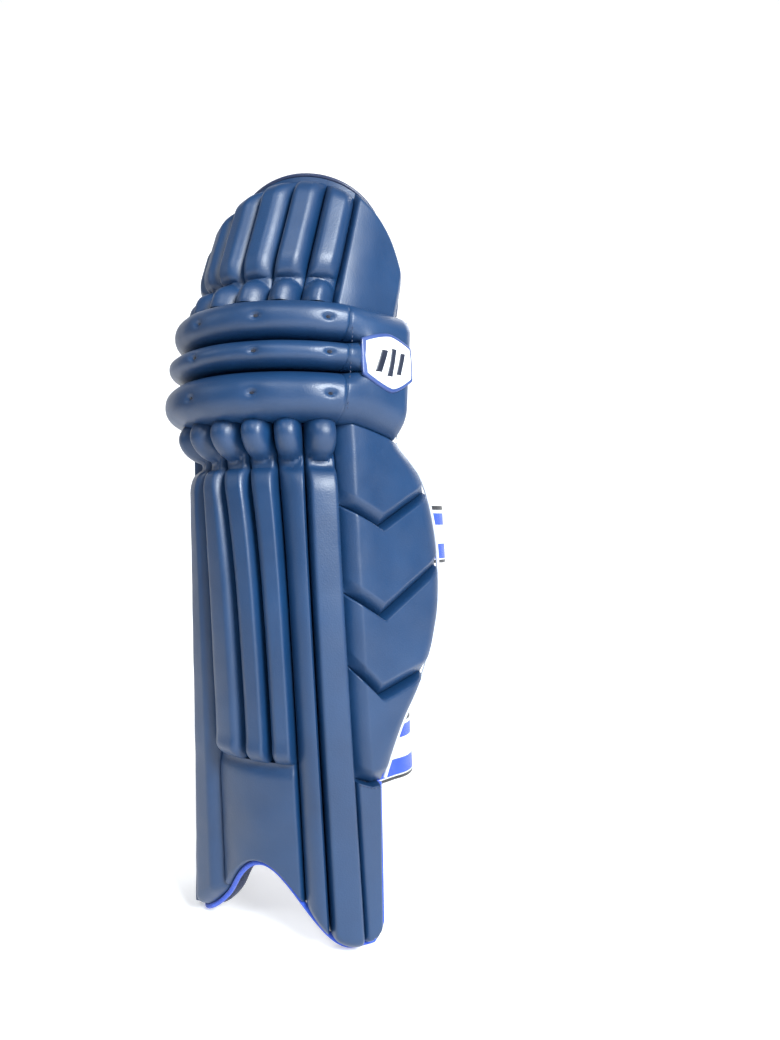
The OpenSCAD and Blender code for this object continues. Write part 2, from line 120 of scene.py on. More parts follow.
def lookup(z, table):
    """Straight lines through the table's points."""
    if z <= table[0][0]:
        return table[0][1]
    for (z0, v0), (z1, v1) in zip(table, table[1:]):
        if z <= z1:
            return v0 + (v1 - v0) * (z - z0) / (z1 - z0)
    return table[-1][1]


def smooth_lookup(z, table):
    """A Catmull-Rom curve through the table's points."""
    if z <= table[0][0]:
        return table[0][1]
    if z >= table[-1][0]:
        return table[-1][1]
    i = max(k for k in range(len(table) - 1) if table[k][0] <= z)
    z0, z1 = table[i][0], table[i + 1][0]
    t = (z - z0) / (z1 - z0)

    def slope(k):
        a, b = table[max(k - 1, 0)], table[min(k + 1, len(table) - 1)]
        return (b[1] - a[1]) / (b[0] - a[0]) * (z1 - z0)

    h = t * t * (3 - 2 * t)
    return (table[i][1] * (1 - h) + table[i + 1][1] * h
            + slope(i) * t * (1 - t) ** 2 - slope(i + 1) * t * t * (1 - t))


def mix(a, b, t):
    return a + (b - a) * t


def clip(v, a=0.0, b=1.0):
    return min(max(v, a), b)


def ease(t):
    """A smooth step from 0 to 1."""
    t = clip(t)
    return t * t * (3 - 2 * t)


def bell(v, width):
    return math.exp(-(v / width) ** 2)


def axis_x(z):
    return lookup(z, AXIS_X)


def axis_y(z):
    return lookup(z, AXIS_Y)


def widen(f, z):
    """Extra distance of the inner side, which stands wider towards the ankle."""
    return INNER_FLARE * clip(1 - z / 540) * ease((FLARE_START - f) / 26)


def at(f, z, r):
    """The point, in metres, at angle f from the front, height z and distance r from the leg axis."""
    r += widen(f, z)
    lim = OUTER_LIM if f > 0 else INNER_LIM
    a = clip(f, -lim, lim) * RAD
    run = max(abs(f) - lim, 0) * MM_PER_DEG
    side = 1 if f > 0 else -1
    x = axis_x(z) + r * math.sin(a) + side * run * math.cos(lim * RAD)
    y = axis_y(z) - r * math.cos(a) + run * math.sin(lim * RAD)
    return Vector((x, y, z)) * MM


def r_shin(z):
    return lookup(z, SHIN_R)


def r_knee(z):
    return lookup(z, [(KNEE_Z, KNEE_R[0]), (610, KNEE_R[1]), (HAT_Z, KNEE_R[2])])


def r_hat(z):
    return lookup(z, HAT_R)


def r_board(z):
    return r_shin(z) - ROLL_T - 2 * GAP - CANE_T - BOARD_T


def bottom(f):
    """Lower edge of the shell: an arch over the instep, rising again towards both rear ends."""
    half = 46 if f > 0 else 54
    arch = ARCH_H * (0.5 + 0.5 * math.cos(math.pi * f / half)) if abs(f) < half else 0
    return arch + max(f - 57, 0) * 2.2 + max(-f - 82, 0) * 1.2


def dome(f):
    """Upper edge of the top hat."""
    return HAT_Z + DOME_H * math.sqrt(max(1 - ((f - HAT_MID) / HAT_HALF) ** 2, 0.02))


def wing_f(z):
    return smooth_lookup(z, WING_EDGE)


def strip_f(z):
    return mix(61, 66, clip(z / 165))


def knee_f(z):
    return mix(90.5, 98.5, clip((z - 535) / 130))


def knee_seam(z):
    return mix(50.4, 55.4, (z - 534) / 129)


def seam_f(i, z):
    """Angle of a seam between shin rolls: it swings over just under the neck, then runs straight."""
    return mix(ROLL_SEAMS[i][0], ROLL_SEAMS[i][1], 1 - math.exp(-max(NECK_Z - z, 0) / 82))


def hat_seam(i):
    return HAT_END - HAT_PITCH * (6 - i)


def groove_z(groove, f):
    """Height of a V groove of the wing at angle f."""
    seam_z, point_z, rear_z, point_f = groove
    if f < point_f:
        return mix(seam_z, point_z, (f - WING_F) / (point_f - WING_F))
    return mix(point_z, rear_z, (f - point_f) / (WING_REAR - point_f))


def crown(t, e):
    """Rounded flat-topped profile over t from 0 to 1."""
    return max(1 - abs(2 * t - 1) ** e, 0) ** (1 / e)


def rise(distance, width, e=2.2):
    """Half of a crown: 0 at an edge, 1 at width and beyond."""
    return crown(clip(distance / width) / 2, e)


def plain_foot(f):
    """Lower edge of the facing, clear of the binding where the edge runs steeply."""
    half = 46 if f > 0 else 54
    steep = abs(math.sin(math.pi * f / half)) if abs(f) < half else 0.8 if f > 55 else 0
    return bottom(f) + BINDING_D - 0.6 + 1.6 * steep


# ---- meshes ----

def build(name, points, faces, material, smooth_angle=50, uvs=None):
    """A smooth mesh object; uvs gives one coordinate for each point."""
    mesh = bpy.data.meshes.new(name)
    mesh.from_pydata([tuple(p) for p in points], [], faces)
    if uvs:
        layer = mesh.uv_layers.new(name="UVMap")
        for loop in mesh.loops:
            layer.data[loop.index].uv = uvs[loop.vertex_index]
    mesh.materials.append(material)
    mesh.polygons.foreach_set("use_smooth", [True] * len(mesh.polygons))
    mesh.set_sharp_from_angle(angle=smooth_angle * RAD)
    mesh.update()
    obj = bpy.data.objects.new(name, mesh)
    bpy.context.scene.collection.objects.link(obj)
    return obj


def loft_data(rings, base=0):
    """Faces of a solid through rings whose two halves run side by side; a strip closes each end."""
    n = len(rings[0])
    top = (len(rings) - 1) * n
    faces = []
    for i in range(0, top, n):
        for j in range(n):
            k = (j + 1) % n
            faces.append((base + i + k, base + i + j, base + i + n + j, base + i + n + k))
    for j in range(n // 2 - 1):
        faces.append((base + j, base + j + 1, base + n - 2 - j, base + n - 1 - j))
        faces.append((base + top + n - 1 - j, base + top + n - 2 - j, base + top + j + 1, base + top + j))
    return faces


def loft(name, rings, material, smooth_angle=50):
    return build(name, [p for ring in rings for p in ring], loft_data(rings), material, smooth_angle)


def ripple(p, size, seed=0.0):
    """Slow unevenness of stuffed leathercloth, -1 to 1, the same on every run."""
    return noise.noise(Vector((p[0] / size + seed, p[1] / size - seed, p[2] / size)))


def patch(name, material, f0, f1, z0, z1, r0, depth, nu, nt, spread=None, wave=0.35, angle=50):
    """A padded patch of the carrier. f0(t), f1(t) are its side edges, z0(f), z1(f) its lower and upper
    edges, r0(z) its back and depth(u, t, f, z) how far its face stands out from there."""
    spread = spread or (lambda u, t: mix(f0(t), f1(t), u))
    rings = []
    for k in range(nt + 1):
        t = (1 - math.cos(math.pi * k / nt)) / 2 * 0.35 + 0.65 * k / nt
        face = []
        back = []
        for i in range(nu + 1):
            u = (1 - math.cos(math.pi * i / nu)) / 2 * 0.5 + 0.5 * i / nu
            f = spread(u, t)
            z = mix(z0(f), z1(f), t)
            d = depth(u, t, f, z)
            p = at(f, z, r0(z) + d)
            d += wave * ripple(p, 0.03) * clip(d / 8)
            face.append(at(f, z, r0(z) + max(d, 0.5)))
            back.append(at(f, z, r0(z)))
        rings.append(back + face[::-1])
    return loft(name, rings, material, angle)


def outward(f, z, r):
    """Direction straight out of the carrier at a point of it."""
    return (at(f, z, r + 1) - at(f, z, r)).normalized()


def tube(name, material, route, d, sides=10):
    """A round cord along (angle, height, distance) points of the carrier."""
    points = [at(*q) for q in route]
    outs = [outward(*q) for q in route]
    last = len(points) - 1
    rings = []
    for i in range(last + 1):
        along = points[min(i + 1, last)] - points[max(i - 1, 0)]
        side = along.cross(outs[i]).normalized()
        up = side.cross(along).normalized()
        turn = 2 * math.pi / sides
        rings.append([
            points[i] + d * MM / 2 * (math.cos(turn * (k + 0.5)) * up - math.sin(turn * (k + 0.5)) * side)
            for k in range(sides)
        ])
    return loft(name, rings, material, 80)


def dense(route, step):
    """The route's points again, no further apart than step."""
    out = []
    for a, b in zip(route, route[1:]):
        n = max(1, math.ceil((at(*b) - at(*a)).length / MM / step))
        out += [tuple(mix(a[c], b[c], k / n) for c in range(3)) for k in range(n)]
    return out + [route[-1]]


# Shape of one stitch: place along it, thickness there and how far it stands out of the cloth
STITCH = ((0, 0.35, -0.5), (0.15, 0.9, 0.1), (0.5, 1.0, 0.3), (0.85, 0.9, 0.1), (1, 0.35, -0.5))


def stitches(name, material, route, pitch=4.6, length=3.0, d=0.75):
    """A row of thread stitches lying on the route, all in one mesh."""
    fine = dense(route, 0.6)
    path = [at(*q) for q in fine]
    outs = [outward(*q) for q in fine]
    points = []
    faces = []
    run = 0.0
    start = None
    for i in range(1, len(path)):
        run += (path[i] - path[i - 1]).length / MM
        if start is None:
            start = i
        if run >= length and start is not None:
            a, b, out = path[start], path[i], outs[i]
            along = (b - a).normalized()
            side = along.cross(out).normalized()
            rings = []
            for s, w, lift in STITCH:
                mid = a + (b - a) * s + out * lift * MM * 0.8
                rings.append([
                    mid + d * MM / 2 * w * (math.cos(k * math.pi / 3) * out - math.sin(k * math.pi / 3) * side)
                    for k in range(6)
                ])
            faces += loft_data(rings, len(points))
            points += [p for ring in rings for p in ring]
            run -= pitch
            start = None
        elif run < 0:
            start = None
    return build(name, points, faces, material, 80)


def puff(obj, voxel=5.0, pressure=3.0, cap=8.0, frames=14):
    """Swell a closed form as stuffed cloth, then keep the result as its mesh."""
    scene = bpy.context.scene
    bpy.context.view_layer.objects.active = obj
    remesh = obj.modifiers.new("remesh", "REMESH")
    remesh.mode = "VOXEL"
    remesh.voxel_size = voxel * MM
    bpy.ops.object.modifier_apply(modifier="remesh")
    rest = [v.co.copy() for v in obj.data.vertices]
    cloth = obj.modifiers.new("cloth", "CLOTH")
    cloth.settings.use_pressure = True
    cloth.settings.uniform_pressure_force = pressure
    cloth.settings.effector_weights.gravity = 0
    cloth.settings.quality = 4
    cloth.point_cache.frame_start = 1
    cloth.point_cache.frame_end = frames
    for k in range(1, frames + 1):
        scene.frame_set(k)
    depsgraph = bpy.context.evaluated_depsgraph_get()
    swollen = [v.co.copy() for v in obj.evaluated_get(depsgraph).data.vertices]
    obj.modifiers.remove(cloth)
    for v, a, b in zip(obj.data.vertices, rest, swollen):
        move = b - a
        if move.length > cap * MM:
            move = move.normalized() * cap * MM
        v.co = a + move
    scene.frame_set(1)
    sub = obj.modifiers.new("subdivide", "SUBSURF")
    sub.levels = 1
    bpy.ops.object.modifier_apply(modifier="subdivide")
    obj.data.polygons.foreach_set("use_smooth", [True] * len(obj.data.polygons))
    return obj


def fit(obj, body, nodes=()):
    """Hang a finished piece on its body, or bake it where it stands for the fold, and hide the CAD nodes that it
    stands for.
    """
    if body == "fold":
        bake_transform(obj)
    else:
        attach(obj, body)
    if nodes:
        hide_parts(*nodes)
    return obj


# ---- materials ----

def shader(name, color, roughness):
    """A node material with its tree and its surface shader."""
    material = bpy.data.materials.new(name)
    material.use_nodes = True
    tree = material.node_tree
    bsdf = tree.nodes["Principled BSDF"]
    bsdf.inputs["Base Color"].default_value = (*color, 1)
    bsdf.inputs["Roughness"].default_value = roughness
    return material, tree, bsdf


def node(tree, kind, **values):
    """A new node with its inputs, or else its own settings, given by name."""
    made = tree.nodes.new(kind)
    for key, value in values.items():
        if key in made.inputs:
            made.inputs[key].default_value = value
        else:
            setattr(made, key, value)
    return made


def ramp(tree, source, low, high, at0=0.3, at1=0.7):
    """Source values at0..at1 spread over the two colours."""
    r = tree.nodes.new("ShaderNodeValToRGB")
    r.color_ramp.elements[0].position = at0
    r.color_ramp.elements[0].color = (*low, 1)
    r.color_ramp.elements[1].position = at1
    r.color_ramp.elements[1].color = (*high, 1)
    tree.links.new(source, r.inputs["Fac"])
    return r.outputs["Color"]


def scale_range(tree, source, low, high):
    """The middle half of a texture's range spread over low to high."""
    m = node(tree, "ShaderNodeMapRange")
    m.inputs["From Min"].default_value = 0.25
    m.inputs["From Max"].default_value = 0.75
    m.inputs["To Min"].default_value = low
    m.inputs["To Max"].default_value = high
    tree.links.new(source, m.inputs["Value"])
    return m.outputs["Result"]


def textured(tree, kind, scale, **values):
    """A texture node in the object's own coordinates."""
    coords = tree.nodes.get("Texture Coordinate") or tree.nodes.new("ShaderNodeTexCoord")
    made = node(tree, kind, **values)
    made.inputs["Scale"].default_value = scale
    tree.links.new(coords.outputs["Object"], made.inputs["Vector"])
    return made


def leathercloth(name, dark, light, roughness=0.42, grain=650, bump=0.22, coat=0.2):
    """Pressed PU leathercloth: fine pebble grain, slow colour drift and uneven sheen."""
    material, tree, bsdf = shader(name, light, roughness)
    cloud = textured(tree, "ShaderNodeTexNoise", 9, Detail=5, Roughness=0.6)
    tree.links.new(ramp(tree, cloud.outputs["Fac"], dark, light), bsdf.inputs["Base Color"])
    rub = textured(tree, "ShaderNodeTexNoise", 34, Detail=4)
    rubbed = scale_range(tree, rub.outputs["Fac"], roughness - 0.05, roughness + 0.09)
    tree.links.new(rubbed, bsdf.inputs["Roughness"])
    pebble = textured(tree, "ShaderNodeTexVoronoi", grain)
    pebble.feature = "SMOOTH_F1"
    crease = textured(tree, "ShaderNodeTexNoise", 120, Detail=6, Roughness=0.65)
    add = node(tree, "ShaderNodeMath", operation="MULTIPLY_ADD")
    add.inputs[1].default_value = 0.6
    tree.links.new(crease.outputs["Fac"], add.inputs[0])
    tree.links.new(pebble.outputs["Distance"], add.inputs[2])
    lift = node(tree, "ShaderNodeBump", Strength=bump, Distance=0.0006)
    tree.links.new(add.outputs["Value"], lift.inputs["Height"])
    tree.links.new(lift.outputs["Normal"], bsdf.inputs["Normal"])
    bsdf.inputs["Coat Weight"].default_value = coat
    bsdf.inputs["Coat Roughness"].default_value = 0.45
    bsdf.inputs["Specular IOR Level"].default_value = 0.55
    return material


def cloth(name, dark, light, roughness=0.85, thread=900, bump=0.5, sheen=0.35):
    """Woven cloth: crossed threads, speckled tone and a soft sheen."""
    material, tree, bsdf = shader(name, light, roughness)
    tone = textured(tree, "ShaderNodeTexNoise", 60, Detail=6, Roughness=0.7)
    tree.links.new(ramp(tree, tone.outputs["Fac"], dark, light), bsdf.inputs["Base Color"])
    warp = textured(tree, "ShaderNodeTexWave", thread, bands_direction="Z")
    weft = textured(tree, "ShaderNodeTexWave", thread, bands_direction="DIAGONAL")
    both = node(tree, "ShaderNodeMath", operation="MAXIMUM")
    tree.links.new(warp.outputs["Fac"], both.inputs[0])
    tree.links.new(weft.outputs["Fac"], both.inputs[1])
    lift = node(tree, "ShaderNodeBump", Strength=bump, Distance=0.0005)
    tree.links.new(both.outputs["Value"], lift.inputs["Height"])
    tree.links.new(lift.outputs["Normal"], bsdf.inputs["Normal"])
    bsdf.inputs["Sheen Weight"].default_value = sheen
    bsdf.inputs["Sheen Roughness"].default_value = 0.4
    return material


def plastic(name, dark, light, roughness):
    """Moulded plastic: near even colour, faint surface noise."""
    material, tree, bsdf = shader(name, light, roughness)
    tone = textured(tree, "ShaderNodeTexNoise", 45, Detail=3)
    tree.links.new(ramp(tree, tone.outputs["Fac"], dark, light), bsdf.inputs["Base Color"])
    tree.links.new(scale_range(tree, tone.outputs["Fac"], roughness, roughness + 0.08), bsdf.inputs["Roughness"])
    fine = textured(tree, "ShaderNodeTexNoise", 900, Detail=2)
    lift = node(tree, "ShaderNodeBump", Strength=0.06, Distance=0.0003)
    tree.links.new(fine.outputs["Fac"], lift.inputs["Height"])
    tree.links.new(lift.outputs["Normal"], bsdf.inputs["Normal"])
    return material


def split_cane(name):
    """Pale split cane with a fibrous surface."""
    material, tree, bsdf = shader(name, (0.62, 0.45, 0.22), 0.5)
    fibre = textured(tree, "ShaderNodeTexNoise", 40, Detail=8, Roughness=0.8)
    tone = ramp(tree, fibre.outputs["Fac"], (0.45, 0.30, 0.13), (0.70, 0.53, 0.28))
    tree.links.new(tone, bsdf.inputs["Base Color"])
    lift = node(tree, "ShaderNodeBump", Strength=0.3, Distance=0.0005)
    tree.links.new(fibre.outputs["Fac"], lift.inputs["Height"])
    tree.links.new(lift.outputs["Normal"], bsdf.inputs["Normal"])
    return material


NAVY = leathercloth("navy_leathercloth", (0.0022, 0.026, 0.084), (0.0045, 0.038, 0.116), 0.42)
DARK_PIPING = leathercloth("dark_piping", (0.008, 0.018, 0.060), (0.014, 0.030, 0.090), 0.38)
PALE_PIPING = leathercloth("pale_piping", (0.52, 0.57, 0.68), (0.70, 0.75, 0.84), 0.35)
TUFT_THREAD = cloth("tuft_thread", (0.003, 0.006, 0.020), (0.005, 0.010, 0.032), 0.8, 1800)
THREAD = cloth("navy_thread", (0.010, 0.022, 0.070), (0.018, 0.036, 0.105), 0.7, 1800)
BINDING = cloth("blue_binding", (0.010, 0.060, 0.50), (0.022, 0.110, 0.72), 0.7, 1100)
BACKING = cloth("backing_cloth", (0.012, 0.020, 0.060), (0.022, 0.034, 0.085), 0.8, 700)
LINING = cloth("brushed_lining", (0.035, 0.050, 0.115), (0.058, 0.078, 0.165), 0.95, 480, 0.35, 0.6)
WEB_BLUE = cloth("webbing_blue", (0.012, 0.055, 0.46), (0.024, 0.095, 0.66), 0.7, 800)
WEB_WHITE = cloth("webbing_white", (0.62, 0.64, 0.68), (0.80, 0.82, 0.84), 0.75, 800)
WEB_BLACK = cloth("webbing_black", (0.010, 0.010, 0.014), (0.022, 0.022, 0.028), 0.8, 800)
HOOKS = cloth("hook_and_loop", (0.008, 0.008, 0.011), (0.020, 0.020, 0.026), 0.95, 1600, 0.9, 0.1)
CANE = split_cane("split_cane")
BADGE_RIM = plastic("badge_rim", (0.030, 0.060, 0.20), (0.05, 0.09, 0.27), 0.35)
BADGE_WHITE = plastic("badge_white", (0.80, 0.82, 0.84), (0.86, 0.88, 0.90), 0.28)
BADGE_MARK = plastic("badge_mark", (0.010, 0.014, 0.030), (0.018, 0.024, 0.045), 0.35)


# ---- shin facing ----

def roll_back(z):
    return r_shin(z) - ROLL_T


# How each shin roll leans: the share of its width taken by the slope on either side
ROLL_SLOPES = [(0.40, 0.22), (0.44, 0.20), (0.46, 0.18), (0.46, 0.18), (0.88, 0.10), (0.20, 0.20)]


def shin_roll(i):
    """A stuffed roll with a round head over the neck crease and, on the short ones, a bulb at its foot."""
    short = 1 < i < 5
    foot = (lambda f: INSTEP_Z + 0.5) if short else plain_foot
    side_foot = foot(0) if short else 20
    head = KNEE_Z + 7
    slope_l, slope_r = ROLL_SLOPES[i - 1]

    def depth(u, t, f, z):
        body = rise(u, slope_l, 1.75) * rise(1 - u, slope_r, 2.1)
        ball = crown(clip(u) ** 1.08, 2.15)
        crease = NECK_Z - 3 + 11 * abs(2 * u - 1) ** 2.6
        over = z - crease
        above = z - foot(f)
        lower = body * (0.46 + 0.56 * rise(NECK_Z - 8 - z, 26, 1.9))
        upper = ball * (0.46 + 0.66 * crown(clip((over - 3) / (head - crease) * 0.95), 1.9))
        h = mix(lower, upper, ease((over + 6) / 12))
        h *= 1 - 0.20 * bell(over, 6)
        if short:
            end = rise(above, 17, 2.0)
            h *= 0.12 + 0.88 * end
            h *= 1 + 0.07 * bell(above - 15, 9)
        else:
            h *= 0.35 + 0.65 * rise(above, 12, 2.0)
        return 1.5 + (ROLL_T - 1.0) * h + FLARE * bell(z - 532, 24) * min(h, 1)

    roll = patch(
        f"shin_roll_{i}_face", NAVY,
        lambda t: seam_f(i - 1, mix(side_foot, head, t)) + 0.05,
        lambda t: seam_f(i, mix(side_foot, head, t)) - 0.05,
        foot, lambda f: head, roll_back, depth, nu=30, nt=120 if short else 150,
    )
    fit(roll, "shin", [f"shin_roll_{i}"])


def panel_depth(full, low, edges):
    """Depth of a panel that slopes down to low at each of its edges, given as (distance, width)."""
    height = 1.0
    for distance, width in edges:
        height *= rise(distance, width, 1.25 if 9 < width < 24 else 1.9)
    return low + (full - low) * height


def instep_panel():
    """The plain panel over the instep, with the arched foot."""

    def depth(u, t, f, z):
        left = (f - seam_f(1, 100)) * 1.9
        right = (seam_f(4, 100) - f) * 1.9
        d = panel_depth(ROLL_T - 9, 6, [(left, 4), (right, 4), (z - plain_foot(f), 4)])
        return d - 3.0 * bell(z - INSTEP_Z, 8)

    panel = patch(
        "instep_panel_face", NAVY, lambda t: seam_f(1, 100) + 0.05, lambda t: seam_f(4, 100) - 0.05,
        plain_foot, lambda f: INSTEP_Z + 3, roll_back, depth, nu=70, nt=60, wave=0.7,
    )
    fit(panel, "shin", ["instep_panel"])


def shin_inner_panel():
    """The plain wall on the side towards the other leg."""
    top = lambda f: KNEE_Z + 4 - 12 * clip((-f - 60) / 40)

    def depth(u, t, f, z):
        return panel_depth(ROLL_T - 6, 5, [
            ((f - WALL_END) * 2.1, 14), ((seam_f(0, 100) - f) * 2.1, 5),
            (z - plain_foot(f), 5), (top(f) - z, 6),
        ])

    panel = patch(
        "shin_inner_panel_face", NAVY, lambda t: WALL_END, lambda t: seam_f(0, 100) - 0.05,
        plain_foot, top, roll_back, depth, nu=50, nt=90, wave=0.7,
    )
    fit(panel, "shin", ["shin_inner_panel"])


def wing_segment(i):
    """A padded piece of the wing between two V grooves."""
    low_groove, high_groove = GROOVES[i], GROOVES[i - 1]
    z0 = lambda f: groove_z(low_groove, f) + 0.3
    if i == 1:
        z1 = lambda f: KNEE_Z + 3 - 14 * clip((f - 60) / 28)
    else:
        z1 = lambda f: groove_z(high_groove, f) - 0.3
    tip = low_groove[3]
    split = 0.42   # share of the mesh's width that lies before the point of the V
    slope = 0.8    # the grooves run at a slant, so a height over them counts for less

    def edge(t):
        f = wing_f(mix(z0(100), z1(100), t))
        for _ in range(4):
            f = wing_f(mix(z0(f), z1(f), t))
        return f

    def spread(u, t):
        start = seam_f(6, mix(z0(WING_F), z1(WING_F), t)) + 0.15
        far = edge(t)
        bend = min(tip, far - 4)
        return mix(start, bend, u / split) if u < split else mix(bend, far, (u - split) / (1 - split))

    def depth(u, t, f, z):
        return panel_depth(ROLL_T - 3, 5, [
            ((f - seam_f(6, z)) * 2.2, 18), ((edge(t) - f) * 2.1, 26),
            ((z - z0(f)) * slope, 13), ((z1(f) - z) * slope, 3.0),
        ])

    segment = patch(
        f"wing_segment_{i}_face", NAVY, None, None, z0, z1, roll_back, depth,
        nu=60, nt=60, spread=spread, wave=0.6,
    )
    fit(segment, "shin", [f"wing_segment_{i}"])


def wing_strip():
    """The plain strip under the wing's stitched seam."""
    top = lambda f: groove_z(GROOVES[4], f) - 0.3

    def depth(u, t, f, z):
        return panel_depth(ROLL_T - 8, 5, [
            ((f - seam_f(6, 100)) * 2.2, 6), ((strip_f(z) - f) * 2.2, 5),
            (z - plain_foot(f), 5), (top(f) - z, 2.5),
        ])

    strip = patch(
        "wing_strip_face", NAVY, lambda t: seam_f(6, 100) + 0.05, lambda t: strip_f(mix(0, 160, t)),
        plain_foot, top, roll_back, depth, nu=26, nt=60,
    )
    fit(strip, "shin", ["wing_strip"])


# ---- knee facing ----

TUFTS = (-15, 15.2, 45.5)   # angles of the dimples


def knee_swell(z, row=None):
    """How far the three knee rolls stand out at height z."""
    if row is None:
        row = 0 if z < KNEE_ROWS[0][1] + 1.2 else 1 if z < KNEE_ROWS[1][1] + 1.2 else 2
    z0, z1 = KNEE_ROWS[row]
    return 3 + (KNEE_R[row] - R_BASE - GAP - 3) * crown(clip((z - z0 + 0.8) / (z1 - z0 + 1.6)), 2.35)


def knee_roll(row, name):
    """A roll across the knee with three stitched dimples."""
    z0, z1 = KNEE_ROWS[row]
    z0 -= 0.8
    z1 += 0.8
    crest = KNEE_R[row]
    mid = (z0 + z1) / 2

    def depth(u, t, f, z):
        d = knee_swell(z, row)
        d *= 0.35 + 0.65 * rise((f - KNEE_END) * 2.5, 18, 2.4)
        for tuft in TUFTS:
            across = (f - tuft) * crest * RAD
            d -= 3.6 * bell(across, 4.5) * bell(z - mid, 2.6)
            d -= 1.2 * bell(across, 11) * bell(z - mid, 9)
        return d - 1.4 * bell((knee_seam(z) - f) * 2.5, 1.6)

    roll = patch(
        f"knee_roll_{name}_face", NAVY, lambda t: KNEE_END, lambda t: knee_seam(mix(z0, z1, t)) - 0.04,
        lambda f: z0, lambda f: z1, lambda z: R_BASE + GAP, depth, nu=260, nt=36, wave=0.7,
    )
    fit(roll, "shin", [f"knee_roll_{name}"])


def knee_tufts():
    """A short bar of thread pulled down into each dimple."""
    up = Vector((0, 0, 1))
    points = []
    faces = []
    for row in range(3):
        mid = sum(KNEE_ROWS[row]) / 2
        r = KNEE_R[row] - 4.3
        for f in TUFTS:
            out = outward(f, mid, r)
            for drop in (-0.9, 0.0, 0.9):
                rings = []
                for s, w in ((-1, 0.3), (-0.8, 0.9), (0, 1), (0.8, 0.9), (1, 0.3)):
                    centre = at(f + s * 1.35, mid + drop, r + 0.4 - 0.6 * abs(s))
                    rings.append([
                        centre + 0.75 * MM * w * (math.cos(k * math.pi / 3) * out + math.sin(k * math.pi / 3) * up)
                        for k in range(6)
                    ])
                faces += [face[::-1] for face in loft_data(rings, len(points))]
                points += [p for ring in rings for p in ring]
    fit(build("knee_tuft_threads", points, faces, TUFT_THREAD, 80), "shin", ["knee_tufts"])


def knee_side_panel():
    """The plain outer end of the knee section, which carries the badge."""
    foot = lambda f: KNEE_Z - 0.8 - 13 * clip((f - 60) / 28)
    top = HAT_Z - 0.4

    def depth(u, t, f, z):
        full = r_knee(z) - R_BASE - GAP - 3
        lower = rise(z - foot(f), 34, 2.0)
        upper = rise(top - z, 22, 2.0)
        edge = rise((knee_f(z) - f) * 2.1, 22, 2.0)
        body = 4 + (full - 4) * lower * upper * (0.25 + 0.75 * edge)
        away = f - knee_seam(z)
        body = mix(min(knee_swell(z), body + 3), body, ease((away + 1.5) / 13))
        return body - 1.4 * bell(away * 2.5, 1.6)

    panel = patch(
        "knee_side_panel_face", NAVY,
        lambda t: knee_seam(mix(KNEE_Z, HAT_Z, t)) + 0.04, lambda t: knee_f(mix(KNEE_Z, HAT_Z, t)),
        foot, lambda f: top, lambda z: R_BASE + GAP, depth, nu=70, nt=110, wave=0.7,
    )
    fit(panel, "shin", ["knee_side_panel"])


def knee_inner_panel():
    """The plain inner end of the knee section."""
    top = lambda f: HAT_Z - 1.2 - 12 * clip((-f - 84) / 16)

    def depth(u, t, f, z):
        return panel_depth(16, 4, [((f - WALL_END) * 2.1, 12), (z - KNEE_Z, 5), (top(f) - z, 5)])

    panel = patch(
        "knee_inner_panel_face", NAVY, lambda t: WALL_END, lambda t: KNEE_END - 0.3,
        lambda f: KNEE_Z, top, lambda z: R_BASE + GAP, depth, nu=16, nt=40,
    )
    fit(panel, "shin", ["knee_inner_panel"])


def badge():
    """A raised rim and a plate in the shape of a shield, with three plain slanted bars on it."""
    def shield(name, material, grow, lift, thick, bevel):
        half = 15.5 + grow * 0.45
        up = 31.5 + grow

        def cut(f):
            return up * 0.34 * (abs(f - BADGE_F) / half) ** 1.5

        def under(f):
            return up * 0.52 * (abs(f - BADGE_F) / half) ** 1.5

        def depth(u, t, f, z):
            side = (half - abs(f - BADGE_F)) * 2.2
            low = z - (BADGE_Z - up + under(f))
            high = BADGE_Z + up - cut(f) - z
            d = thick
            for distance in (side, low, high):
                d *= 0.25 + 0.75 * rise(distance, bevel, 2.2)
            return d

        return patch(
            name, material, lambda t: BADGE_F - half * (1 - 0.05 * abs(2 * t - 1)),
            lambda t: BADGE_F + half * (1 - 0.05 * abs(2 * t - 1)),
            lambda f: BADGE_Z - up + under(f), lambda f: BADGE_Z + up - cut(f),
            lambda z: r_knee(z) - 3.6 + lift, depth, nu=60, nt=60, wave=0.0, angle=70,
        )

    fit(shield("badge_rim_raised", BADGE_RIM, 0, 0, 3.4, 2.4), "shin", ["badge_rim"])
    fit(shield("badge_plate_white", BADGE_WHITE, -4, 3.0, 1.7, 1.2), "shin", ["badge_plate"])
    for k in (-1, 0, 1):
        bar = patch(
            f"badge_bar_{k + 2}", BADGE_MARK,
            lambda t: BADGE_F + 6 * k - 1.7 + 4 * (t - 0.5), lambda t: BADGE_F + 6 * k + 1.7 + 4 * (t - 0.5),
            lambda f: BADGE_Z - 15 + 3 * abs(k), lambda f: BADGE_Z + 15 - 3 * abs(k),
            lambda z: r_knee(z) + 0.7, lambda u, t, f, z: 0.4 + 0.7 * crown(u, 3) * crown(t, 10),
            nu=8, nt=20, wave=0.0,
        )
        fit(bar, "shin")
    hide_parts("badge_motif")


# ---- top hat ----

def hat_back(z):
    return r_hat(z) - HAT_T


